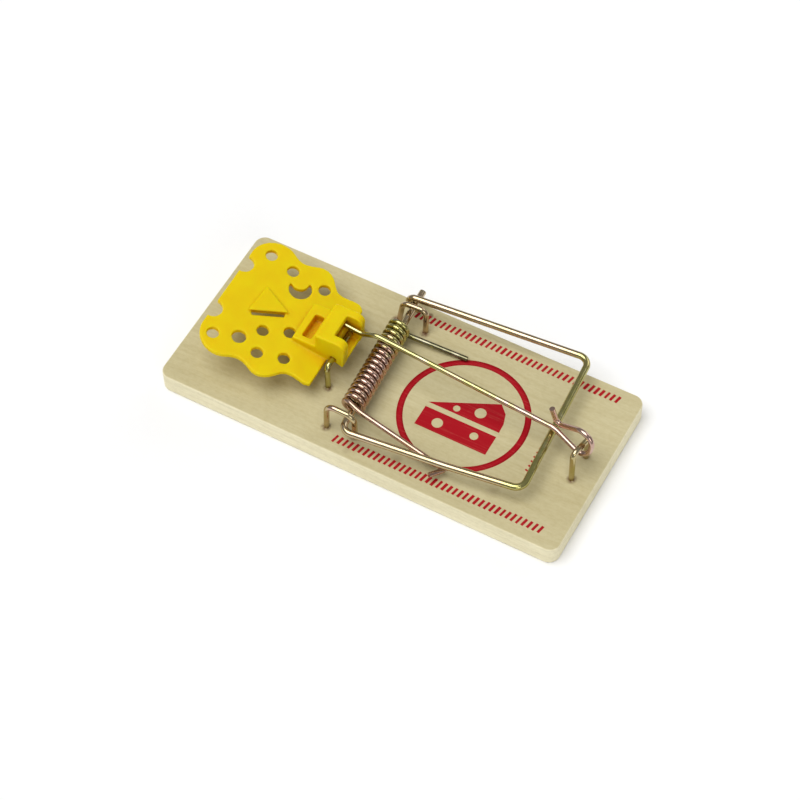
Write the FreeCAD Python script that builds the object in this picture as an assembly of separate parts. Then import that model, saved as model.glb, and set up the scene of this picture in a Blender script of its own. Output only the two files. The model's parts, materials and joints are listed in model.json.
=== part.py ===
"""Snap mouse trap, set: a wooden base board, seven bent-wire pieces and a moulded bait pedal."""
import FreeCAD, Part
import math
import os
from FreeCAD import Placement, Rotation, Vector

os.makedirs("parts", exist_ok=True)

# Base board. The origin is the centre of its underside, +X runs towards the hold-down staple.
BOARD_LENGTH = 98.0
BOARD_WIDTH = 44.4
BOARD_THICK = 5.2
BOARD_CORNER_R = 2.5
BOARD_EDGE_R = 0.35
TOP = BOARD_THICK

# Wire radii
KILL_WIRE_R = 0.80
HOLD_WIRE_R = 0.62
SPRING_WIRE_R = 0.60
STAPLE_WIRE_R = 0.65
LEG_DEPTH = 4.2

# Kill bar: a is measured from the axle towards the crossbar, b along the axle to the rear
AXLE = Vector(-5.49, 0.69, TOP + 3.9)
AXLE_YAW = 3.0
BAR_REACH_FRONT = 41.5
BAR_REACH_REAR = 41.2
AXLE_FRONT = -19.3
AXLE_REAR = 21.8
CROSS_FRONT = -16.6
CROSS_REAR = 20.5
ARM_BOW = -18.15
BAR_LIFT = 0.35
BAR_CORNER_R = 2.4
HOOK_AT = 18.3
HOOK_R = 1.7

# Torsion spring round the axle
COIL_R = 2.15
COIL_TURNS = 16.5
COIL_FRONT = -12.9
COIL_REAR = 11.0
COIL_START_ANGLE = 82.0
COIL_SHIFT = Vector(-0.4, 0, 0.2)
COIL_CORNERS = 8

# Hold-down bar and the staple that it hinges on
CROWN = Vector(43.95, -0.8, TOP + 8.35)
CROWN_RUN = Vector(0.45, 2.65, -0.25)
STAPLE_BEND_R = 1.3

# Bait pedal: its own frame has the pin at the origin and y along the pin
PIN = Vector(-14.5, 0.45, TOP + 6.2)
PIN_YAW = 0.9
PIN_HOLE_R = STAPLE_WIRE_R + 0.08
PLATE_TILT = 11.1
PLATE_TOP = -1.3
PLATE_THICK = 1.3
PLATE_MIDDLE = -1.0
PLATE_END = -28.9
PLATE_NEAR_END = -0.6
PLATE_RELIEF = 0.75
NOTCH_R = 2.1
CATCH_FRONT = -4.9
CATCH_REAR = 5.0
CATCH_TOP = 6.1
WINDOW_FRONT = -2.7
WINDOW_REAR = 3.1
BRIDGE_FAR = -4.3
BRIDGE_NEAR = -0.5
FLOOR_FAR = -1.6
FLOOR_NEAR = 2.3
FLOOR_TOP = -0.95
FLOOR_THICK = 0.8
ARM_CORNER_R = 1.9
LIP_DEPTH = 1.5
LIP_LOW = 2.75
LIP_HIGH = 4.55
POCKET_FAR = -10.1
POCKET_FRONT = -4.9
POCKET_REAR = 5.5
POCKET_TOP = 2.0


def above(x, y, height):
    """A point given by its height above the board's top face."""
    return Vector(x, y, TOP + height)


def on_bar(a, b, rise=0.0):
    """A point in the kill bar's frame, rise being its height above the axle's centre."""
    yaw = math.radians(AXLE_YAW)
    along = Vector(math.cos(yaw), math.sin(yaw), 0)
    across = Vector(-math.sin(yaw), math.cos(yaw), 0)
    return AXLE + along * a + across * b + Vector(0, 0, rise)


def bent_path(points, radii):
    """Straight runs between the points, joined at each inner point by a tangent arc."""
    edges = []
    start = points[0]
    for before, corner, after, radius in zip(points, points[1:], points[2:], radii):
        back = Vector(before - corner).normalize()
        ahead = Vector(after - corner).normalize()
        half_turn = (math.pi - back.getAngle(ahead)) / 2
        enter = corner + back * radius * math.tan(half_turn)
        leave = corner + ahead * radius * math.tan(half_turn)
        inward = Vector(back + ahead).normalize()
        middle = corner + inward * radius * (1 / math.cos(half_turn) - 1)
        edges.append(Part.makeLine(start, enter))
        edges.append(Part.Arc(enter, middle, leave).toShape())
        start = leave
    edges.append(Part.makeLine(start, points[-1]))
    return Part.Wire(edges)


def wide_radii(points, share=0.45):
    """The largest arc for each inner point that its two runs leave room for."""
    radii = []
    for before, corner, after in zip(points, points[1:], points[2:]):
        back = Vector(before - corner)
        ahead = Vector(after - corner)
        half_turn = (math.pi - back.getAngle(ahead)) / 2
        radii.append(share * min(back.Length, ahead.Length) / math.tan(half_turn))
    return radii


def round_wire(points, radii, wire_r):
    """A round wire bent along the path."""
    profile = Part.Wire([Part.Circle(points[0], points[1] - points[0], wire_r).toShape()])
    return bent_path(points, radii).makePipeShell([profile], True, False)


def staple(foot_a, shoulder_a, shoulder_b, foot_b, bend_r):
    """A staple whose legs go on into the board below their feet."""
    ends = []
    for foot, shoulder in ((foot_a, shoulder_a), (foot_b, shoulder_b)):
        slope = Vector(foot - shoulder)
        ends.append(foot + slope * (LEG_DEPTH / abs(slope.z)))
    return round_wire([ends[0], shoulder_a, shoulder_b, ends[1]], [bend_r, bend_r], STAPLE_WIRE_R)


def front_hammer_staple():
    return staple(above(-9.15, -16.8, 0), above(-9.1, -16.3, 7.4),
                  above(-2.3, -16.3, 7.2), above(-2.35, -16.3, 0), STAPLE_BEND_R + 0.7)


def rear_hammer_staple():
    return staple(above(-9.05, 15.8, 0), above(-8.3, 16.4, 5.9),
                  above(-2.5, 16.5, 6.3), above(-2.3, 15.65, 0), STAPLE_BEND_R + 0.3)


def hold_down_staple():
    return staple(above(43.7, -3.85, 0), CROWN - CROWN_RUN, CROWN + CROWN_RUN,
                  above(43.95, 2.6, 0), STAPLE_BEND_R)


def pedal_staple():
    """The staple whose crown is the pedal's hinge pin."""
    yaw = math.radians(PIN_YAW)
    along = Vector(-math.sin(yaw), math.cos(yaw), 0)
    front = PIN - along * 7.4
    rear = PIN + along * 7.9
    return staple(above(-14.1, -7.5, 0), front, rear, above(-14.5, 8.6, 0), STAPLE_BEND_R)


def base_board(staples):
    """The wooden board, with the holes that the staple legs make in it."""
    board = Part.makeBox(BOARD_LENGTH, BOARD_WIDTH, BOARD_THICK,
                         Vector(-BOARD_LENGTH / 2, -BOARD_WIDTH / 2, 0))
    upright = [e for e in board.Edges if abs(e.tangentAt(e.FirstParameter).z) > 0.9]
    board = board.makeFillet(BOARD_CORNER_R, upright)
    rims = [e for e in board.Edges if e.BoundBox.ZLength < 0.01]
    board = board.makeFillet(BOARD_EDGE_R, rims)
    return board.cut(staples)


def kill_bar():
    """One wire: axle, front arm, crossbar and rear arm, hooked round the axle's rear end."""
    points = [
        on_bar(0, AXLE_REAR),
        on_bar(0, AXLE_FRONT),
        on_bar(24, ARM_BOW, BAR_LIFT - 0.05),
        on_bar(BAR_REACH_FRONT, CROSS_FRONT, BAR_LIFT),
        on_bar(BAR_REACH_REAR, CROSS_REAR, BAR_LIFT),
        on_bar(-HOOK_R, HOOK_AT, HOOK_R),
        on_bar(-HOOK_R, HOOK_AT - 0.1, -HOOK_R),
        on_bar(0.9, HOOK_AT - 0.2, -HOOK_R),
    ]
    radii = [2.2, 60, BAR_CORNER_R, BAR_CORNER_R, HOOK_R - 0.02, HOOK_R - 0.02]
    return round_wire(points, radii, KILL_WIRE_R)


def torsion_spring():
    """Coil round the axle, its front arm under the kill bar and its rear arm on the board."""
    points = [above(17.1, -18.75, 2.2), above(19.4, -15.75, 1.9), above(-3.0, -13.4, 5.7)]
    radii = [1.0]
    count = int(COIL_TURNS * COIL_CORNERS)
    corner_r = COIL_R / math.cos(math.pi / COIL_CORNERS)
    coil = []
    for i in range(1, count + 1):
        angle = math.radians(COIL_START_ANGLE + 360.0 * i / COIL_CORNERS)
        b = COIL_FRONT + (COIL_REAR - COIL_FRONT) * i / count
        coil.append(on_bar(corner_r * math.cos(angle), b, corner_r * math.sin(angle)) + COIL_SHIFT)
    tail = [above(9.7, 12.88, SPRING_WIRE_R + 0.05)]
    whole = points + coil + tail
    radii = radii + wide_radii(whole)[len(radii):]
    return round_wire(whole, radii, SPRING_WIRE_R)


def hold_down_bar():
    """Long wire: tip under the pedal's lip, run over the kill bar, eye round the staple's crown."""
    points = [
        above(-15.5, 2.75, 9.8), above(-10.9, 2.72, 9.15), above(-7.4, 2.69, 10.85),
        above(36.4, 2.3, 6.05), above(43.4, -0.65, 5.8), above(45.8, -0.6, 6.0),
        above(46.2, 0.4, 10.2), above(43.2, 1.1, 11.4), above(36.35, 3.65, 5.95),
        above(34.9, 3.65, 10.7),
    ]
    return round_wire(points, [3.0, 3.0, 6.0, 3.0, 2.3, 2.3, 2.5, 1.2], HOLD_WIRE_R)


def in_plate(shape):
    """Turns a shape from the plate's own frame into the pedal's frame."""
    turned = shape.copy()
    turned.Placement = Placement(Vector(), Rotation(Vector(0, 1, 0), PLATE_TILT))
    return turned


def plate_outline():
    """The scalloped outline: both flanks are the same curve, mirrored about the plate's middle."""
    flank = [(-28.9, 11.0), (-28.1, 13.6), (-25.1, 15.95), (-21.3, 15.9), (-18.7, 14.65),
             (-16.0, 14.8), (-13.2, 15.85), (-10.0, 14.7), (-7.5, 12.15), (-5.4, 11.8),
             (-2.0, 12.0), (PLATE_NEAR_END, 10.9)]
    curves = []
    for side in (1, -1):
        middle = PLATE_MIDDLE + 0.45
        curve = Part.BSplineCurve()
        curve.interpolate([Vector(x, middle + side * half, PLATE_TOP) for x, half in flank])
        curves.append(curve.toShape())
    rear, front = curves
    ends = [Part.makeLine(rear.Vertexes[i].Point, front.Vertexes[i].Point) for i in (0, -1)]
    return Part.Wire(Part.__sortEdges__([rear, front] + ends))


def plate_holes():
    """Round holes, the two notches in the far end and the crescent, as solids to cut."""
    holes = [(-24.7, 11.8, 1.35), (-18.6, 10.8, 1.35), (-10.3, 10.4, 1.35), (-25.6, -12.7, 1.35),
             (-20.3, -10.4, 1.6), (-16.7, -6.2, 1.35), (-15.0, -11.75, 1.35),
             (-9.3, -9.8, 1.35), (-11.45, -3.35, 1.35),
             (PLATE_END + 0.2, 6.6, NOTCH_R), (PLATE_END + 0.2, -7.2, NOTCH_R)]
    depth = 3 * PLATE_THICK
    low = PLATE_TOP - 2 * PLATE_THICK
    solids = [Part.makeCylinder(r, depth, Vector(x, y, low)) for x, y, r in holes]
    moon = Part.makeCylinder(2.6, depth, Vector(-15.0, 7.7, low))
    bite = Part.makeCylinder(2.1, depth, Vector(-15.9, 9.4, low))
    solids.append(moon.cut(bite))
    return solids


def bait_hook():
    """The raised triangular flap, and the slot through the plate along its front edge."""
    apex = Vector(-21.3, 3.7, PLATE_TOP)
    far = Vector(-21.9, -3.8, PLATE_TOP)
    near = Vector(-14.0, 0.4, PLATE_TOP)
    flap = Part.Face(Part.makePolygon([apex, far, near, apex])).extrude(Vector(0, 0, 0.9))
    edge = Vector(near - far)
    out = Vector(edge.y, -edge.x, 0).normalize()
    corners = [far + edge * 0.08 - out * 0.4, near - edge * 0.08 - out * 0.4,
               near - edge * 0.10 + out * 0.75, far + edge * 0.10 + out * 0.75]
    slot = Part.Face(Part.makePolygon(corners + corners[:1]))
    slot.translate(Vector(0, 0, 0.35))
    return flap, slot.extrude(Vector(0, 0, -3 * PLATE_THICK))


def catch():
    """Two arms on the pin, a bridge and a floor between them; the bridge holds the hold-down bar's tip."""
    side = [(BRIDGE_FAR, -1.1), (-1.5, -1.2), (0.3, -0.9), (2.4, -1.8), (3.2, CATCH_TOP),
            (BRIDGE_FAR, CATCH_TOP)]
    points = [Vector(x, CATCH_FRONT, z) for x, z in side]
    profile = Part.Face(Part.makePolygon(points + points[:1]))
    body = profile.extrude(Vector(0, CATCH_REAR - CATCH_FRONT, 0))
    corner = [e for e in body.Edges if e.BoundBox.XLength < 0.01 and e.BoundBox.ZLength < 0.01
              and e.CenterOfMass.x > 2.0 and e.CenterOfMass.z > 4.0]
    body = body.makeFillet(ARM_CORNER_R, corner)
    window = Part.makeBox(6.0, WINDOW_REAR - WINDOW_FRONT, 12.0,
                          Vector(BRIDGE_NEAR, WINDOW_FRONT, -4.0))
    undercut = Part.makeBox(LIP_DEPTH + 1.0, WINDOW_REAR - WINDOW_FRONT, LIP_HIGH - LIP_LOW,
                            Vector(BRIDGE_NEAR - LIP_DEPTH, WINDOW_FRONT, LIP_LOW))
    floor = Part.makeBox(FLOOR_NEAR - FLOOR_FAR, WINDOW_REAR - WINDOW_FRONT + 0.4, FLOOR_THICK,
                         Vector(FLOOR_FAR, WINDOW_FRONT - 0.2, FLOOR_TOP - FLOOR_THICK))
    return body.cut([window, undercut]).fuse(floor)


def pocket():
    """The small open bait pocket beside the catch, and the space inside it."""
    low = -1.5
    block = Part.makeBox(BRIDGE_FAR - POCKET_FAR, POCKET_REAR - POCKET_FRONT, POCKET_TOP - low,
                         Vector(POCKET_FAR, POCKET_FRONT, low))
    space = Part.makeBox(2.3, 6.4, 4.0, Vector(-8.4, -3.5, POCKET_TOP - 2.2))
    return block, space


def bait_pedal():
    """The moulded pedal: plate, flap, pocket and catch in one piece, tilted on its pin."""
    plate = Part.Face(plate_outline()).extrude(Vector(0, 0, -PLATE_THICK))
    flap, slot = bait_hook()
    relief = Part.makeBox(5, 23.3, 3 * PLATE_THICK,
                          Vector(PLATE_NEAR_END - PLATE_RELIEF, -14, PLATE_TOP - 2 * PLATE_THICK))
    plate = in_plate(plate.fuse(flap).cut(plate_holes() + [slot, relief]))
    below = in_plate(Part.makeBox(60, 60, 10, Vector(-50, -30, PLATE_TOP - PLATE_THICK - 10)))
    block, space = pocket()
    block = block.cut(below)
    pin_hole = Part.makeCylinder(PIN_HOLE_R, 20, Vector(0, -10, 0), Vector(0, 1, 0))
    pedal = plate.fuse([block, catch()]).cut([space, pin_hole]).removeSplitter()
    pedal.Placement = Placement(PIN, Rotation(Vector(0, 0, 1), PIN_YAW))
    return pedal


def main():
    staples = {
        "front_hammer_staple": front_hammer_staple(),
        "rear_hammer_staple": rear_hammer_staple(),
        "hold_down_staple": hold_down_staple(),
        "pedal_staple": pedal_staple(),
    }
    pieces = dict(staples)
    pieces["base_board"] = base_board(list(staples.values()))
    pieces["torsion_spring"] = torsion_spring()
    pieces["kill_bar"] = kill_bar()
    pieces["hold_down_bar"] = hold_down_bar()
    pieces["bait_pedal"] = bait_pedal()
    for name, shape in pieces.items():
        shape.exportStep("parts/" + name + ".step")


main()
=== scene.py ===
"""Finish of a snap mouse trap.

Pale wood, stamped marks, zinc plated wire and a moulded bait pedal round the fixed frame.
"""
import json
import math

import bmesh
import bpy
from bpy.props import FloatProperty, FloatVectorProperty, IntProperty, PointerProperty
from mathutils import Matrix, Vector


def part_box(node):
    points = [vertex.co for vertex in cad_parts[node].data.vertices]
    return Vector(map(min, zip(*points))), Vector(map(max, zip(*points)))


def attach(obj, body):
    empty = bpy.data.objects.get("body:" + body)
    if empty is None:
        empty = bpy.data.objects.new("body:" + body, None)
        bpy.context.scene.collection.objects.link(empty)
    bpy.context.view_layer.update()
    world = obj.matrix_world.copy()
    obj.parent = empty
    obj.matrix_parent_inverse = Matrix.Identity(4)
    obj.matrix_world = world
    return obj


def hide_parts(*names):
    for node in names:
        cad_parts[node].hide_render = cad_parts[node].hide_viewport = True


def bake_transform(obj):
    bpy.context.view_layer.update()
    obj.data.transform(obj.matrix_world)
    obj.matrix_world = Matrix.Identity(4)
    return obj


bl_info = {
    "name": "Snap Mouse Trap",
    "version": (1, 0, 0),
    "blender": (4, 5, 0),
    "location": "View3D > Sidebar > Trap",
    "description": "Wood, print, wire and moulded plastic round a mouse trap's fixed frame",
    "category": "Object",
}

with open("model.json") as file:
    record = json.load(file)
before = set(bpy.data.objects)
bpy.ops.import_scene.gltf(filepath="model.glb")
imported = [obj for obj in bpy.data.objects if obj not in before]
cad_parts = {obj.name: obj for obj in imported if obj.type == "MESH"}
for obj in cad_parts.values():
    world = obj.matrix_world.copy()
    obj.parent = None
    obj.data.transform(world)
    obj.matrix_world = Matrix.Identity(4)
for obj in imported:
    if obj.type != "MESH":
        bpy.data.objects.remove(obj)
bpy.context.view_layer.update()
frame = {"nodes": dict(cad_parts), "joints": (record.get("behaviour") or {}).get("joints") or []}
MM = 0.001
BOARD_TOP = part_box("base_board")[1].z
STAPLES = ("front_hammer_staple", "rear_hammer_staple", "hold_down_staple", "pedal_staple")
ALONG, ACROSS = 0, 1

# Tables of places are in millimetres, along and across the board from its middle.
# The heart of the trunk that the board was sawn from: along, across and up.
TRUNK_HEART = (0.0, -34.0, -21.0)
# Pin knots: place, radius, fade and how dark.
KNOTS = (((-3.4, 20.0), 0.35, 0.5, 0.75), ((-42.3, 12.5), 0.2, 0.9, 0.25),
         ((30.5, -14.6), 0.4, 1.6, 0.22), ((8.5, -17.3), 0.3, 1.3, 0.3),
         ((-2.2, -20.3), 0.3, 1.0, 0.2))
# Rows of bars: name, count, place of the first bar, turn in degrees, share of full size, seed.
ROWS = (("border_rear", 40, (-6.0, 18.9), 0.3, 1.0, 3),
        ("border_front", 40, (-5.9, -18.75), 0.5, 1.0, 5),
        ("border_end", 11, (34.7, -6.6), 89.0, 0.72, 8))
# The wedge's two outlines about the ring's centre, and its holes as x, y and radius.
WEDGE_OUTLINES = (((-7.4, -0.4), (5.2, 5.6), (6.9, 3.9), (7.6, 1.7), (7.7, -0.4)),
                  ((-7.4, -1.5), (7.7, -1.5), (7.7, -6.0), (-7.4, -6.0)))
WEDGE_HOLES = ((2.6, 1.9, 1.15), (-1.9, 0.75, 0.7), (-3.6, -3.9, 1.1), (3.9, -3.3, 0.85))
RING_CORNERS, HOLE_CORNERS = 144, 28
# The least and the most that a bar is scaled by in its width, height and film.
BAR_LEAST, BAR_MOST = (0.86, 0.9, 1.0), (1.12, 1.04, 1.0)
# The spring's arms: along, across and above the board's face.
ARM_TIP = (17.1, -18.75, 2.2)
ARM_BEND = (19.4, -15.75, 1.9)
COIL_ENTRY = (-3.0, -13.4, 5.7)
TAIL_END = (9.7, 12.88, 0.65)
# From the swing axis to the coil's middle, which hangs loosely round the axle.
COIL_SAG = (-0.4, 0.0, 0.2)

# Vertices closer than this are one.
WELD_REACH = 0.001 * MM
# The floor's half width in metres, and its gap below the board.
FLOOR_REACH = 12.0
FLOOR_GAP = 0.05 * MM
# Share of its brightness that the floor keeps in its fibre.
FLOOR_FIBRE = 0.985
# Lights: name, the direction they stand in, width in degrees and strength.
SUNS = (("key_light", (-0.22, -0.20, 0.95), 50.0, 2.25),
        ("fill_light", (0.60, -0.60, 0.55), 30.0, 0.45),
        ("rim_light", (0.30, 0.75, 0.50), 30.0, 0.35))


def colour_prop(name, description, default):
    return FloatVectorProperty(name=name, description=description, default=default,
                               subtype="COLOR", size=3, min=0.0, max=1.0)


def length_prop(name, description, default):
    return FloatProperty(name=name, description=description, default=default,
                         subtype="DISTANCE", unit="LENGTH")


def angle_prop(name, description, degrees):
    return FloatProperty(name=name, description=description, default=math.radians(degrees),
                         subtype="ANGLE", unit="ROTATION")


class TrapWood(bpy.types.PropertyGroup):
    top: colour_prop("Face", "Colour of the planed top", (0.585, 0.52, 0.305))
    streak: colour_prop("Streak", "Colour of the darker growth bands", (0.455, 0.385, 0.195))
    # Sawn edge: the sides' colour is painted paler than the top, standing in for the light that
    # falls on them.
    lit_sawn: colour_prop("Sawn edge", "Colour of the four sawn sides", (0.93, 0.86, 0.60))
    # Pin knot: the colour of the pin knots, and of the painted shade in the holes round the staple
    # legs.
    knot_and_hole_shade: colour_prop("Pin knot", "Colour of pin knots and of the torn holes", (0.16, 0.09, 0.045))
    band: length_prop("Band spacing", "Distance between growth bands", 3.4 * MM)
    # Hole mark and hole fade size the painted shade round each staple's leg.
    hole_core: length_prop("Hole mark", "Radius of the dark mark round a staple's leg", 0.55 * MM)
    hole_fade: length_prop("Hole fade", "Width over which that mark fades", 0.8 * MM)


class TrapPrint(bpy.types.PropertyGroup):
    ink: colour_prop("Ink", "Colour of the stamp ink", (0.37, 0.003, 0.010))
    faded: colour_prop("Thin ink", "Colour where the wood shows through", (0.46, 0.06, 0.05))
    film: length_prop("Film", "Thickness of the ink above the wood", 0.03 * MM)
    ring_radius: length_prop("Ring radius", "Middle of the ring's line", 14.05 * MM)
    ring_width: length_prop("Ring width", "Width of the ring's line", 1.42 * MM)
    ring_x: length_prop("Ring along", "Ring centre along the board", 15.8 * MM)
    ring_y: length_prop("Ring across", "Ring centre across the board", -0.3 * MM)
    bar_pitch: length_prop("Bar pitch", "Distance between the border's bars", 1.27 * MM)
    bar_width: length_prop("Bar width", "Width of one bar", 0.62 * MM)
    bar_height: length_prop("Bar height", "Height of one bar", 2.05 * MM)
    slant: angle_prop("Slant", "Lean of the bars", 14.0)
    wedge_scale: FloatProperty(name="Wedge scale", description="Size of the wedge in the ring",
                               default=1.15, min=0.1)


class TrapWire(bpy.types.PropertyGroup):
    gold: colour_prop("Gold", "Main tint of the plating", (0.50, 0.40, 0.215))
    green: colour_prop("Green", "Yellow-green tint of the plating", (0.46, 0.425, 0.15))
    rose: colour_prop("Rose", "Pink tint of the plating", (0.55, 0.37, 0.30))
    tan: colour_prop("Tan", "Warm tint along the kill bar's arms", (0.53, 0.405, 0.27))
    copper: colour_prop("Copper", "Tint of the coil's front half", (0.48, 0.31, 0.22))
    # Arm shade: the spring's arm on the board is painted dark, standing in for the dark that it
    # reflects.
    arm_shade: colour_prop("Dull", "Tint of the spring's arm on the board", (0.16, 0.15, 0.085))
    # Sheen: small pale patches painted on the plating, standing in for highlights.
    sheen: colour_prop("Worn", "Pale tint of small worn patches", (0.68, 0.62, 0.50))
    roughness: FloatProperty(name="Roughness", description="Roughness of the plating",
                             default=0.14, min=0.0, max=1.0)


class TrapSpring(bpy.types.PropertyGroup):
    wire_radius: length_prop("Wire radius", "Radius of the spring's wire", 0.60 * MM)
    coil_radius: length_prop("Coil radius", "Radius of the coil at the wire's middle", 2.15 * MM)
    coil_front: length_prop("Coil front", "Where the coil starts, from the middle of its axle",
                            -12.9 * MM)
    coil_rear: length_prop("Coil rear", "Where the coil ends", 11.0 * MM)
    turns: FloatProperty(name="Turns", description="Turns of the coil", default=16.5, min=1.0)
    start_angle: angle_prop("Start angle", "Where the first turn starts, seen along the axle", 82.0)
    corners: IntProperty(name="Corners", description="Control points in one turn", default=8, min=6)
    sides: IntProperty(name="Sides", description="Sides of the wire's section", default=16, min=6)


class TrapPedal(bpy.types.PropertyGroup):
    plastic: colour_prop("Plastic", "Colour of the moulded plastic", (0.74, 0.572, 0.0))
    # Deep: the plastic's darker random tone, and the painted shade of its hollows, standing in for
    # light passed through it.
    deep: colour_prop("Deep", "Colour in hollows, where light has passed through",
                      (0.66, 0.30, 0.0))
    fineness: length_prop("Fineness", "Grain of the mesh whose edges are softened", 0.2 * MM)
    roughness: FloatProperty(name="Roughness", description="Roughness of the plastic",
                             default=0.45, min=0.0, max=1.0)


class TrapStage(bpy.types.PropertyGroup):
    azimuth: angle_prop("Azimuth", "Direction of the camera round the board", 30.30)
    elevation: angle_prop("Elevation", "Height of the camera above the horizon", 55.58)
    roll: angle_prop("Roll", "Turn of the camera about its own line of sight", -1.79)
    lens: FloatProperty(name="Lens", description="Focal length in millimetres", default=106.92)
    place: FloatVectorProperty(name="Place", description="Where the camera stands", size=3,
                               subtype="XYZ", unit="LENGTH",
                               default=(149.81 * MM, -256.91 * MM, 433.87 * MM))
    floor: colour_prop("Floor", "Colour of the floor", (0.93, 0.93, 0.93))
    sky: FloatProperty(name="Sky", description="Strength of the even light from all round",
                       default=0.28, min=0.0)


def settings(group):
    return getattr(bpy.context.scene, group)


def add_node(tree, kind, inputs=None, **options):
    """A shader or geometry node: sockets in the inputs are linked, plain values are set."""
    made = tree.nodes.new(kind)
    for key, value in options.items():
        setattr(made, key, value)
    for key, value in (inputs or {}).items():
        if isinstance(value, bpy.types.NodeSocket):
            tree.links.new(value, made.inputs[key])
        else:
            made.inputs[key].default_value = value
    return made


def maths(tree, operation, *values):
    """One step of arithmetic on sockets or plain numbers."""
    made = add_node(tree, "ShaderNodeMath", dict(enumerate(values)), operation=operation)
    return made.outputs[0]


def mixed(tree, share, first, second):
    """The first colour where the share is 0, and the second where it is 1."""
    made = add_node(tree, "ShaderNodeMix", {0: share, 6: first, 7: second}, data_type="RGBA")
    return made.outputs[2]


def ramped(tree, value, low, high, to_low=0.0, to_high=1.0):
    """The value moved from the range low to high into to_low to to_high, and held inside it."""
    made = add_node(tree, "ShaderNodeMapRange",
                    {0: value, 1: low, 2: high, 3: to_low, 4: to_high})
    return made.outputs[0]


def opaque(colour):
    return (*colour, 1.0)


def new_material(name):
    """An empty material with its shader and output, and object coordinates in millimetres."""
    made = bpy.data.materials.new(name)
    made.use_nodes = True
    tree = made.node_tree
    tree.nodes.clear()
    place = tree.nodes.new("ShaderNodeTexCoord").outputs["Object"]
    scale = add_node(tree, "ShaderNodeVectorMath", {0: place, 3: 1 / MM}, operation="SCALE")
    shader = tree.nodes.new("ShaderNodeBsdfPrincipled")
    add_node(tree, "ShaderNodeOutputMaterial", {"Surface": shader.outputs[0]})
    return made, tree, shader, scale.outputs[0]


def stretched(tree, point, along, across, up):
    """The point with each axis scaled, so that a pattern runs along the grain or the wire."""
    made = add_node(tree, "ShaderNodeVectorMath", {0: point, 1: (along, across, up)},
                    operation="MULTIPLY")
    return made.outputs[0]


def noise(tree, point, scale, detail=3.0, roughness=0.5, distortion=0.0):
    made = add_node(tree, "ShaderNodeTexNoise",
                    {"Vector": point, "Scale": scale, "Detail": detail,
                     "Roughness": roughness, "Distortion": distortion})
    return made.outputs[0]


def grain(tree, point, fineness, detail, roughness=0.5):
    """Noise drawn out along the board, with its fineness along, across and up."""
    return noise(tree, stretched(tree, point, *fineness), 1.0, detail, roughness)


def bumped(tree, shader, height, strength, distance):
    """Relief on the shader, whose height of 1 stands for the distance."""
    made = add_node(tree, "ShaderNodeBump",
                    {"Height": height, "Strength": strength, "Distance": distance})
    tree.links.new(made.outputs[0], shader.inputs["Normal"])


def spot(tree, point, centre, radius, fade):
    """1 inside the radius of a place on the board, falling to 0 over the fade; in millimetres."""
    apart = add_node(tree, "ShaderNodeVectorMath",
                     {0: stretched(tree, point, 1, 1, 0), 1: (centre[0], centre[1], 0.0)},
                     operation="DISTANCE")
    return ramped(tree, apart.outputs["Value"], radius, radius + fade, 1.0, 0.0)


def leg_places():
    """Where the staple legs go into the board, in millimetres."""
    places = []
    for name in STAPLES:
        low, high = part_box(name)
        deep = [v.co for v in frame["nodes"][name].data.vertices if v.co.z < low.z + 0.4 * MM]
        axis = ALONG if high.x - low.x > high.y - low.y else ACROSS
        middle = (low[axis] + high[axis]) / 2
        for leg in ([p for p in deep if p[axis] < middle], [p for p in deep if p[axis] >= middle]):
            centre = sum(leg, Vector()) / len(leg)
            places.append((centre.x / MM, centre.y / MM))
    return places


def growth_bands(tree, point, spacing):
    """The trunk's rings where the board's face cuts them, from 0 to 1 in a band's middle."""
    wander = grain(tree, point, (0.02, 0.1, 0.2), detail=2.0)
    apart = add_node(tree, "ShaderNodeVectorMath",
                     {0: stretched(tree, point, 0.06, 1.0, 1.0), 1: TRUNK_HEART},
                     operation="DISTANCE")
    rings = maths(tree, "ADD", apart.outputs["Value"], maths(tree, "MULTIPLY", wander, 16.0))
    wave = maths(tree, "SINE", maths(tree, "MULTIPLY", rings, 2 * math.pi / spacing))
    return maths(tree, "POWER", ramped(tree, wave, -1.0, 1.0), 2.5)


def sawn_side(tree):
    """1 on the board's sawn sides and 0 on its faces."""
    normal = tree.nodes.new("ShaderNodeTexCoord").outputs["Normal"]
    upright = add_node(tree, "ShaderNodeSeparateXYZ", {0: normal}).outputs[2]
    return ramped(tree, maths(tree, "ABSOLUTE", upright), 0.55, 0.985, 1.0, 0.0)


def shaded_holes(tree, point, core, fade, side):
    """Ragged dark marks on the face where the staple legs go in: painted shade standing in for the
    hollow round each leg.
    """
    holes = 0.0
    for centre in leg_places():
        holes = maths(tree, "MAXIMUM", holes, spot(tree, point, centre, core, fade))
    ragged = ramped(tree, noise(tree, point, scale=1.6), 0.35, 0.6, 0.45, 1.0)
    shaded = maths(tree, "MULTIPLY", holes, ragged)
    return maths(tree, "MULTIPLY", shaded, maths(tree, "SUBTRACT", 1.0, side))


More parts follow.
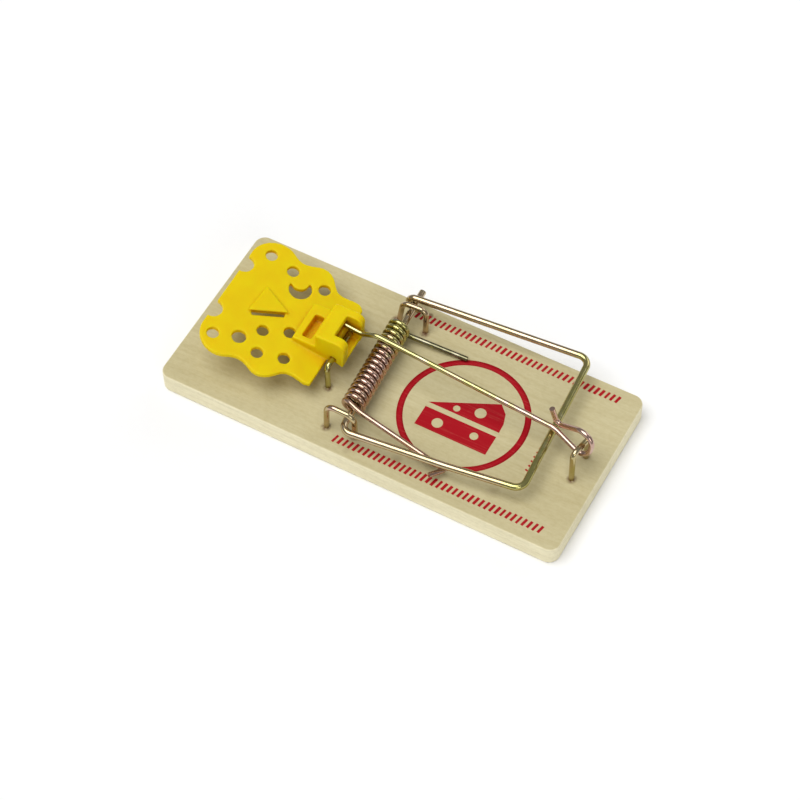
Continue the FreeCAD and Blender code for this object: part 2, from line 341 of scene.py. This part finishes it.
def wood_material():
    """Pale wood with growth bands, fibre, pin knots and staple holes darkened with painted shade,
    and sides painted paler than the top for the light that falls on them.
    """
    look = settings("trap_wood")
    made, tree, shader, point = new_material("pale_wood")
    top, streak, knot_and_hole_shade = opaque(look.top), opaque(look.streak), opaque(look.knot_and_hole_shade)
    bands = growth_bands(tree, point, look.band / MM)
    fibre = grain(tree, point, (0.05, 2.2, 2.2), detail=5.0, roughness=0.65)
    pores = grain(tree, point, (0.35, 6.5, 6.5), detail=2.0, roughness=0.6)
    cloud = grain(tree, point, (0.03, 0.09, 0.1), detail=2.0)
    fleck = grain(tree, point, (0.8, 1.5, 1.5), detail=4.0, roughness=0.7)
    share = 0.0
    for pattern, low, high, most in ((bands, 0.0, 1.0, 0.17), (fibre, 0.38, 0.72, 0.26),
                                     (fleck, 0.42, 0.7, 0.34), (cloud, 0.45, 0.75, 0.30)):
        share = maths(tree, "ADD", share, ramped(tree, pattern, low, high, 0.0, most))
    face = mixed(tree, share, top, streak)
    face = mixed(tree, ramped(tree, pores, 0.62, 0.78, 0.0, 0.35), face, streak)
    # Painted light: the sides take a paler colour, standing in for the light that falls on them.
    lit_sawn = mixed(tree, maths(tree, "MULTIPLY", share, 0.7), opaque(look.lit_sawn), top)
    side = sawn_side(tree)
    colour = mixed(tree, side, face, lit_sawn)
    for centre, radius, fade, dark in KNOTS:
        knot = maths(tree, "MULTIPLY", spot(tree, point, centre, radius, fade), dark)
        colour = mixed(tree, knot, colour, knot_and_hole_shade)
    # Painted shade: the holes round the staple legs are darkened in the wood's colour; the dip in
    # the relief is real.
    shaded = shaded_holes(tree, point, look.hole_core / MM, look.hole_fade / MM, side)
    colour = mixed(tree, shaded, colour, knot_and_hole_shade)
    tree.links.new(colour, shader.inputs["Base Color"])
    tree.links.new(ramped(tree, fibre, 0.3, 0.7, 0.62, 0.78), shader.inputs["Roughness"])
    shader.inputs["Specular IOR Level"].default_value = 0.3
    relief = maths(tree, "ADD", maths(tree, "MULTIPLY", fibre, 0.7),
                   maths(tree, "MULTIPLY", pores, 0.5))
    relief = maths(tree, "SUBTRACT", relief, shaded)
    bumped(tree, shader, relief, strength=0.35, distance=0.12 * MM)
    return made


def ink_material():
    """Stamp ink, thin where the wood's fibre stands up."""
    look = settings("trap_print")
    made, tree, shader, point = new_material("stamp_ink")
    fibre = grain(tree, point, (0.06, 3.4, 1.0), detail=4.0, roughness=0.65)
    patch = noise(tree, point, scale=0.9)
    thin = maths(tree, "MULTIPLY", ramped(tree, fibre, 0.54, 0.68),
                 ramped(tree, patch, 0.35, 0.7, 0.25, 0.9))
    colour = mixed(tree, thin, opaque(look.ink), opaque(look.faded))
    tree.links.new(colour, shader.inputs["Base Color"])
    tree.links.new(ramped(tree, patch, 0.3, 0.7, 0.5, 0.7), shader.inputs["Roughness"])
    shader.inputs["Specular IOR Level"].default_value = 0.12
    bumped(tree, shader, fibre, strength=0.25, distance=0.08 * MM)
    return made


def plating_material(name, main, tinge, bands=(), axis=ACROSS):
    """Zinc plate whose tint drifts.

    Each band is a tint and the millimetres between which it comes in, along the axis.
    """
    look = settings("trap_wire")
    made, tree, shader, point = new_material(name)
    drift = noise(tree, point, scale=0.17, detail=3.0, roughness=0.55, distortion=0.4)
    fine = noise(tree, point, scale=0.55, detail=2.0)
    colour = mixed(tree, ramped(tree, drift, 0.42, 0.62), opaque(main), opaque(tinge))
    place = add_node(tree, "ShaderNodeSeparateXYZ", {0: point}).outputs[axis]
    for tint, start, end in bands:
        shift = ramped(tree, fine, 0.3, 0.7, start - end, end - start)
        share = ramped(tree, maths(tree, "ADD", place, shift), start, end)
        colour = mixed(tree, share, colour, opaque(tint))
    # Painted highlight: small pale patches on the plating.
    colour = mixed(tree, ramped(tree, fine, 0.5, 0.75, 0.0, 0.3), colour, opaque(look.sheen))
    tree.links.new(colour, shader.inputs["Base Color"])
    shader.inputs["Metallic"].default_value = 1.0
    tree.links.new(ramped(tree, fine, 0.3, 0.7, look.roughness, look.roughness + 0.08),
                   shader.inputs["Roughness"])
    bumped(tree, shader, noise(tree, point, scale=2.5, detail=2.0), strength=0.12,
           distance=0.01 * MM)
    return made


def plastic_material():
    """Moulded plastic that lets some light through, with a deeper orange painted into its hollows,
    standing in for the shade there and the light passed through the plastic.
    """
    look = settings("trap_pedal")
    made, tree, shader, point = new_material("moulded_plastic")
    plastic, deep = opaque(look.plastic), opaque(look.deep)
    # Painted shade: hollows found by occlusion take the deep colour, standing in for shade and
    # light passed through the plastic.
    hollow = add_node(tree, "ShaderNodeAmbientOcclusion", {"Distance": 4.5 * MM}, samples=8)
    shade = ramped(tree, hollow.outputs["AO"], 0.25, 0.85, 1.0, 0.0)
    cloud = noise(tree, point, scale=0.22, detail=2.0)
    colour = mixed(tree, ramped(tree, cloud, 0.35, 0.7, 0.0, 0.16), plastic, deep)
    colour = mixed(tree, shade, colour, deep)
    tree.links.new(colour, shader.inputs["Base Color"])
    fine = noise(tree, point, scale=3.2)
    tree.links.new(ramped(tree, fine, 0.3, 0.7, look.roughness - 0.05, look.roughness + 0.1),
                   shader.inputs["Roughness"])
    shader.inputs["Subsurface Weight"].default_value = 0.6
    shader.inputs["Subsurface Radius"].default_value = (1.0, 0.66, 0.03)
    shader.inputs["Subsurface Scale"].default_value = 2.0 * MM
    shader.inputs["Specular IOR Level"].default_value = 0.14
    bumped(tree, shader, fine, strength=0.05, distance=0.05 * MM)
    return made


def link_mesh(name, mesh, material):
    made = bpy.data.objects.new(name, mesh)
    bpy.context.scene.collection.objects.link(made)
    mesh.materials.clear()
    mesh.materials.append(material)
    return made


def welded_mesh(node, scale=1.0):
    """A copy of a frame node's mesh with its loose triangles joined up."""
    work = bmesh.new()
    work.from_mesh(frame["nodes"][node].data)
    bmesh.ops.remove_doubles(work, verts=work.verts, dist=WELD_REACH)
    bmesh.ops.scale(work, vec=(scale,) * 3, verts=work.verts)
    made = bpy.data.meshes.new(node + "_welded")
    work.to_mesh(made)
    work.free()
    stale = made.attributes.get("custom_normal")
    if stale is not None:
        made.attributes.remove(stale)
    return made


def shade_by_angle(mesh, degrees):
    """Smooth faces, with the edges that turn by more than the angle left sharp."""
    work = bmesh.new()
    work.from_mesh(mesh)
    for face in work.faces:
        face.smooth = True
    for edge in work.edges:
        edge.smooth = edge.calc_face_angle(0.0) < math.radians(degrees)
    work.to_mesh(mesh)
    work.free()


def group_with(name, sockets):
    """An empty geometry tree with the named inputs, each (name, socket type, default)."""
    tree = bpy.data.node_groups.new(name, "GeometryNodeTree")
    tree.interface.new_socket("Geometry", in_out="INPUT", socket_type="NodeSocketGeometry")
    tree.interface.new_socket("Geometry", in_out="OUTPUT", socket_type="NodeSocketGeometry")
    for label, kind, value in sockets:
        socket = tree.interface.new_socket(label, in_out="INPUT", socket_type=kind)
        if value is not None:
            socket.default_value = value
    return tree, add_node(tree, "NodeGroupInput").outputs


def close_group(tree, geometry, material):
    """The tree's end: real geometry with its material."""
    real = add_node(tree, "GeometryNodeRealizeInstances", {0: geometry})
    painted = add_node(tree, "GeometryNodeSetMaterial",
                       {"Geometry": real.outputs[0], "Material": material})
    add_node(tree, "NodeGroupOutput", {0: painted.outputs[0]})


def plain_mesh(source):
    """The plain mesh that an object shows; the object and its modifiers are then removed."""
    bpy.context.view_layer.update()
    shown = source.evaluated_get(bpy.context.evaluated_depsgraph_get())
    mesh = bpy.data.meshes.new_from_object(shown)
    source.modifiers.clear()
    bpy.data.objects.remove(source)
    return mesh


def grown_mesh(source, tree, values):
    """The plain mesh that a geometry tree makes of the source object."""
    modifier = source.modifiers.new("grow", "NODES")
    modifier.node_group = tree
    for item in tree.interface.items_tree:
        if item.in_out == "INPUT" and item.name in values:
            modifier[item.identifier] = values[item.name]
    return plain_mesh(source)


def blank_source(name):
    """An empty object for a geometry tree that needs no input."""
    made = bpy.data.objects.new(name, bpy.data.meshes.new(name))
    bpy.context.scene.collection.objects.link(made)
    return made


def ring_tree():
    """A flat ring: a circle swept with a low rectangle."""
    tree, given = group_with("stamped ring", [
        ("Radius", "NodeSocketFloat", 0.01), ("Line Width", "NodeSocketFloat", 0.001),
        ("Film", "NodeSocketFloat", 0.0001), ("Material", "NodeSocketMaterial", None)])
    circle = add_node(tree, "GeometryNodeCurvePrimitiveCircle",
                      {"Resolution": RING_CORNERS, "Radius": given["Radius"]}, mode="RADIUS")
    section = add_node(tree, "GeometryNodeCurvePrimitiveQuadrilateral",
                       {"Width": given["Line Width"], "Height": given["Film"]}, mode="RECTANGLE")
    line = add_node(tree, "GeometryNodeCurveToMesh",
                    {"Curve": circle.outputs[0], "Profile Curve": section.outputs[0]})
    close_group(tree, line.outputs[0], given["Material"])
    return tree


def border_tree():
    """A straight row of leaning bars, each a little taller or shorter than the next."""
    tree, given = group_with("stamped border", [
        ("Count", "NodeSocketInt", 10), ("Pitch", "NodeSocketFloat", 0.001),
        ("Bar Size", "NodeSocketVector", None), ("Slant", "NodeSocketFloat", 0.0),
        ("Seed", "NodeSocketInt", 1), ("Material", "NodeSocketMaterial", None)])
    step = add_node(tree, "ShaderNodeCombineXYZ", {0: given["Pitch"]})
    line = add_node(tree, "GeometryNodeMeshLine",
                    {"Count": given["Count"], "Offset": step.outputs[0]})
    bar = add_node(tree, "GeometryNodeMeshCube", {"Size": given["Bar Size"]})
    lean = add_node(tree, "ShaderNodeCombineXYZ", {2: given["Slant"]})
    height = add_node(tree, "FunctionNodeRandomValue",
                      {0: BAR_LEAST, 1: BAR_MOST, "Seed": given["Seed"]},
                      data_type="FLOAT_VECTOR")
    row = add_node(tree, "GeometryNodeInstanceOnPoints",
                   {"Points": line.outputs[0], "Instance": bar.outputs[0],
                    "Rotation": lean.outputs[0], "Scale": height.outputs[0]})
    close_group(tree, row.outputs[0], given["Material"])
    return tree


def wire_tree():
    """A round wire with closed ends along the path that it is given."""
    tree, given = group_with("wire along path", [
        ("Wire Radius", "NodeSocketFloat", 0.0005), ("Sides", "NodeSocketInt", 12),
        ("Material", "NodeSocketMaterial", None)])
    section = add_node(tree, "GeometryNodeCurvePrimitiveCircle",
                       {"Resolution": given["Sides"], "Radius": given["Wire Radius"]},
                       mode="RADIUS")
    wire = add_node(tree, "GeometryNodeCurveToMesh",
                    {"Curve": given["Geometry"], "Profile Curve": section.outputs[0],
                     "Fill Caps": True})
    smooth = add_node(tree, "GeometryNodeSetShadeSmooth", {"Geometry": wire.outputs[0]})
    close_group(tree, smooth.outputs[0], given["Material"])
    return tree


def wedge_mesh(film):
    """A plain wedge and a band under it, both with round holes, lying flat about the origin."""
    outlines = list(WEDGE_OUTLINES)
    steps = [2 * math.pi * i / HOLE_CORNERS for i in range(HOLE_CORNERS)]
    for x, y, radius in WEDGE_HOLES:
        outlines.append([(x + radius * math.cos(a), y + radius * math.sin(a)) for a in steps])
    flat = bpy.data.curves.new("wedge", "CURVE")
    flat.dimensions = "2D"
    flat.fill_mode = "BOTH"
    flat.extrude = film / 2
    for outline in outlines:
        spline = flat.splines.new("POLY")
        spline.points.add(len(outline) - 1)
        for point, (x, y) in zip(spline.points, outline):
            point.co = (x * MM, y * MM, 0.0, 1.0)
        spline.use_cyclic_u = True
    holder = bpy.data.objects.new("wedge", flat)
    bpy.context.scene.collection.objects.link(holder)
    return plain_mesh(holder)


def joint_line(name):
    """A joint's place and direction, in metres."""
    found = [j for j in frame["joints"] if j["name"] == name][0]
    return Vector(found["pos_m"]), Vector(found["axis"]).normalized()


def spring_route():
    """Control points from the moving arm's tip, through the coil, to the arm on the board."""
    size = settings("trap_spring")
    middle, axis = joint_line("kill_bar_swing")
    across = -axis
    along = Vector((across.y, -across.x, 0.0))
    middle = middle + Vector(COIL_SAG) * MM
    face = Vector((0.0, 0.0, BOARD_TOP))
    tip, bend, entry, tail = (face + Vector(place) * MM
                              for place in (ARM_TIP, ARM_BEND, COIL_ENTRY, TAIL_END))
    route = [tip, bend.lerp(tip, 0.32), bend, bend.lerp(entry, 0.06), bend.lerp(entry, 0.5),
             bend.lerp(entry, 0.9), entry]
    count = int(size.turns * size.corners)
    corner_radius = size.coil_radius / math.cos(math.pi / size.corners)
    for i in range(1, count + 1):
        angle = size.start_angle + 2 * math.pi * i / size.corners
        place = size.coil_front + (size.coil_rear - size.coil_front) * i / count
        route.append(middle + across * place + along * corner_radius * math.cos(angle)
                     + Vector((0, 0, corner_radius * math.sin(angle))))
    last = route[-1]
    route += [last.lerp(tail, 0.12), last.lerp(tail, 0.5), tail]
    return route


class TRAP_OT_finish_board(bpy.types.Operator):
    """Give the base board its wood, with painted shade in the holes where the staples go in"""
    bl_idname = "trap.finish_board"
    bl_label = "Finish Board"

    def execute(self, context):
        board = frame["nodes"]["base_board"]
        board.data.materials.clear()
        board.data.materials.append(wood_material())
        return {"FINISHED"}


class TRAP_OT_stamp_print(bpy.types.Operator):
    """Stamp the ring, the wedge and the three rows of bars on the board"""
    bl_idname = "trap.stamp_print"
    bl_label = "Stamp Print"

    def execute(self, context):
        look = context.scene.trap_print
        ink = ink_material()
        # Half of the film's thickness lies under the board's face.
        film = 2 * look.film
        centre = Vector((look.ring_x, look.ring_y, BOARD_TOP))
        ring = grown_mesh(blank_source("ring"), ring_tree(), {
            "Radius": look.ring_radius, "Line Width": look.ring_width, "Film": film,
            "Material": ink})
        wedge = wedge_mesh(film)
        wedge.transform(Matrix.Scale(look.wedge_scale, 4))
        tree = border_tree()
        made = [("stamped_ring", ring, centre, 0.0), ("stamped_wedge", wedge, centre, 0.0)]
        for name, count, start, turn, share, seed in ROWS:
            size = (look.bar_width * share, look.bar_height * share, film)
            row = grown_mesh(blank_source(name), tree, {
                "Count": count, "Pitch": look.bar_pitch, "Bar Size": size,
                "Slant": -look.slant, "Seed": seed, "Material": ink})
            made.append((name, row, Vector((start[0] * MM, start[1] * MM, BOARD_TOP)), turn))
        for name, mesh, place, turn in made:
            mesh.transform(Matrix.Translation(place) @ Matrix.Rotation(math.radians(turn), 4, "Z"))
            piece = link_mesh(name, mesh, ink)
            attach(piece, "base")
        return {"FINISHED"}


class TRAP_OT_plate_wires(bpy.types.Operator):
    """Plate the kill bar, the hold-down bar and the four staples"""
    bl_idname = "trap.plate_wires"
    bl_label = "Plate Wires"

    def execute(self, context):
        look = context.scene.trap_wire
        gold = plating_material("plating_gold", look.gold, look.green)
        framed = plating_material("plating_framed", look.gold, look.tan,
                                  bands=((look.green, 29.0, 34.0),), axis=ALONG)
        green = plating_material("plating_green", look.green, look.gold)
        drifting = plating_material("plating_drifting", look.green, look.gold,
                                    bands=((look.rose, 18.0, 34.0),), axis=ALONG)
        rosy = plating_material("plating_rosy", look.gold, look.rose)
        wires = (("kill_bar", "kill_bar_body", framed),
                 ("hold_down_bar", "hold_down_body", drifting),
                 ("front_hammer_staple", "base", rosy),
                 ("rear_hammer_staple", "base", rosy),
                 ("hold_down_staple", "base", gold),
                 ("pedal_staple", "base", green))
        for node, body, plating in wires:
            mesh = welded_mesh(node)
            shade_by_angle(mesh, degrees=40)
            piece = link_mesh(node + "_wire", mesh, plating)
            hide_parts(node)
            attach(piece, body)
        return {"FINISHED"}


class TRAP_OT_wind_spring(bpy.types.Operator):
    """Wind the torsion spring, whose arms reach from the kill bar to the board"""
    bl_idname = "trap.wind_spring"
    bl_label = "Wind Spring"

    def execute(self, context):
        size = context.scene.trap_spring
        look = context.scene.trap_wire
        # Painted shade: past 11.8 mm across, the spring's arm on the board takes the arm shade.
        plating = plating_material("plating_spring", look.copper, look.rose,
                                   bands=((look.green, 2.0, 6.5), (look.arm_shade, 11.2, 11.8)))
        route = spring_route()
        path = bpy.data.curves.new("spring_path", "CURVE")
        path.dimensions = "3D"
        path.resolution_u = 4
        spline = path.splines.new("NURBS")
        spline.points.add(len(route) - 1)
        for point, place in zip(spline.points, route):
            point.co = (*place, 1.0)
        spline.use_endpoint_u = True
        spline.order_u = 3
        source = bpy.data.objects.new("spring_path", path)
        context.scene.collection.objects.link(source)
        mesh = grown_mesh(source, wire_tree(), {
            "Wire Radius": size.wire_radius, "Sides": size.sides, "Material": plating})
        spring = link_mesh("torsion_spring_wire", mesh, plating)
        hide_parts("torsion_spring")
        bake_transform(spring)
        return {"FINISHED"}


class TRAP_OT_mould_pedal(bpy.types.Operator):
    """Mould the bait pedal with softened edges and a slightly translucent plastic"""
    bl_idname = "trap.mould_pedal"
    bl_label = "Mould Pedal"

    def execute(self, context):
        look = context.scene.trap_pedal
        # The mesh is softened at a thousand times its size, where the modifiers are exact.
        rough = bpy.data.objects.new("rough_pedal", welded_mesh("bait_pedal", 1 / MM))
        context.scene.collection.objects.link(rough)
        remesh = rough.modifiers.new("remesh", "REMESH")
        remesh.mode = "VOXEL"
        remesh.voxel_size = look.fineness / MM
        soften = rough.modifiers.new("soften", "SMOOTH")
        soften.factor = 0.5
        soften.iterations = 5
        mesh = plain_mesh(rough)
        mesh.transform(Matrix.Scale(MM, 4))
        shade_by_angle(mesh, degrees=70)
        pedal = link_mesh("bait_pedal_moulding", mesh, plastic_material())
        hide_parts("bait_pedal")
        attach(pedal, "pedal_body")
        return {"FINISHED"}


def soft_sun(name, direction, spread, strength):
    """An even light from far off, wide enough in degrees to leave soft shadows."""
    lamp = bpy.data.lights.new(name, "SUN")
    lamp.angle = math.radians(spread)
    lamp.energy = strength
    made = bpy.data.objects.new(name, lamp)
    made.rotation_mode = "QUATERNION"
    made.rotation_quaternion = (-Vector(direction)).to_track_quat("-Z", "Y")
    bpy.context.scene.collection.objects.link(made)


class TRAP_OT_set_stage(bpy.types.Operator):
    """Lay the floor, hang the lights and place the camera"""
    bl_idname = "trap.set_stage"
    bl_label = "Set Stage"

    def execute(self, context):
        look = context.scene.trap_stage
        work = bmesh.new()
        bmesh.ops.create_grid(work, x_segments=1, y_segments=1, size=FLOOR_REACH)
        bmesh.ops.translate(work, verts=work.verts, vec=(0, 0, -FLOOR_GAP))
        floor_mesh = bpy.data.meshes.new("floor")
        work.to_mesh(floor_mesh)
        work.free()
        made, tree, shader, point = new_material("floor_paper")
        fibre = noise(tree, point, scale=0.5, detail=4.0)
        shade = tuple(FLOOR_FIBRE * part for part in look.floor)
        colour = mixed(tree, fibre, opaque(look.floor), opaque(shade))
        tree.links.new(colour, shader.inputs["Base Color"])
        shader.inputs["Roughness"].default_value = 0.9
        shader.inputs["Specular IOR Level"].default_value = 0.1
        link_mesh("floor", floor_mesh, made)
        for name, direction, spread, strength in SUNS:
            soft_sun(name, direction, spread, strength)
        world = bpy.data.worlds.new("soft_room")
        world.use_nodes = True
        sky = world.node_tree.nodes["Background"]
        sky.inputs["Color"].default_value = (1.0, 1.0, 1.0, 1.0)
        sky.inputs["Strength"].default_value = look.sky
        context.scene.world = world
        context.scene.view_settings.view_transform = "Standard"
        level = Vector((math.cos(look.azimuth), math.sin(look.azimuth), 0.0))
        away = Vector((math.sin(look.azimuth), -math.cos(look.azimuth), 0.0))
        back = away * math.cos(look.elevation) + Vector((0.0, 0.0, math.sin(look.elevation)))
        rise = back.cross(level)
        right = level * math.cos(look.roll) + rise * math.sin(look.roll)
        up = rise * math.cos(look.roll) - level * math.sin(look.roll)
        lens = bpy.data.cameras.new("camera")
        lens.lens = look.lens
        lens.sensor_width = 36.0
        lens.clip_start = 10 * MM
        camera = bpy.data.objects.new("camera", lens)
        context.scene.collection.objects.link(camera)
        turn = Matrix((right, up, back)).transposed()
        camera.matrix_world = Matrix.Translation(Vector(look.place)) @ turn.to_4x4()
        context.scene.camera = camera
        return {"FINISHED"}


STEPS = (TRAP_OT_finish_board, TRAP_OT_stamp_print, TRAP_OT_plate_wires, TRAP_OT_wind_spring,
         TRAP_OT_mould_pedal, TRAP_OT_set_stage)
GROUPS = {"trap_wood": TrapWood, "trap_print": TrapPrint, "trap_wire": TrapWire,
          "trap_spring": TrapSpring, "trap_pedal": TrapPedal, "trap_stage": TrapStage}


class TRAP_PT_panel(bpy.types.Panel):
    """Sizes, colours and steps of the mouse trap"""
    bl_idname = "TRAP_PT_panel"
    bl_label = "Mouse Trap"
    bl_space_type = "VIEW_3D"
    bl_region_type = "UI"
    bl_category = "Trap"

    def draw(self, context):
        for step in STEPS:
            self.layout.operator(step.bl_idname)
        for name, group in GROUPS.items():
            column = self.layout.box().column()
            for prop in group.__annotations__:
                column.prop(getattr(context.scene, name), prop)


def register():
    for group in GROUPS.values():
        bpy.utils.register_class(group)
    for name, group in GROUPS.items():
        setattr(bpy.types.Scene, name, PointerProperty(type=group))
    for kind in (*STEPS, TRAP_PT_panel):
        bpy.utils.register_class(kind)


def unregister():
    for kind in (TRAP_PT_panel, *reversed(STEPS)):
        bpy.utils.unregister_class(kind)
    for name in GROUPS:
        delattr(bpy.types.Scene, name)
    for group in reversed(GROUPS.values()):
        bpy.utils.unregister_class(group)


def main():
    register()
    bpy.ops.trap.finish_board()
    bpy.ops.trap.stamp_print()
    bpy.ops.trap.plate_wires()
    bpy.ops.trap.wind_spring()
    bpy.ops.trap.mould_pedal()
    bpy.ops.trap.set_stage()
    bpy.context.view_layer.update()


if __name__ == "__main__":
    main()
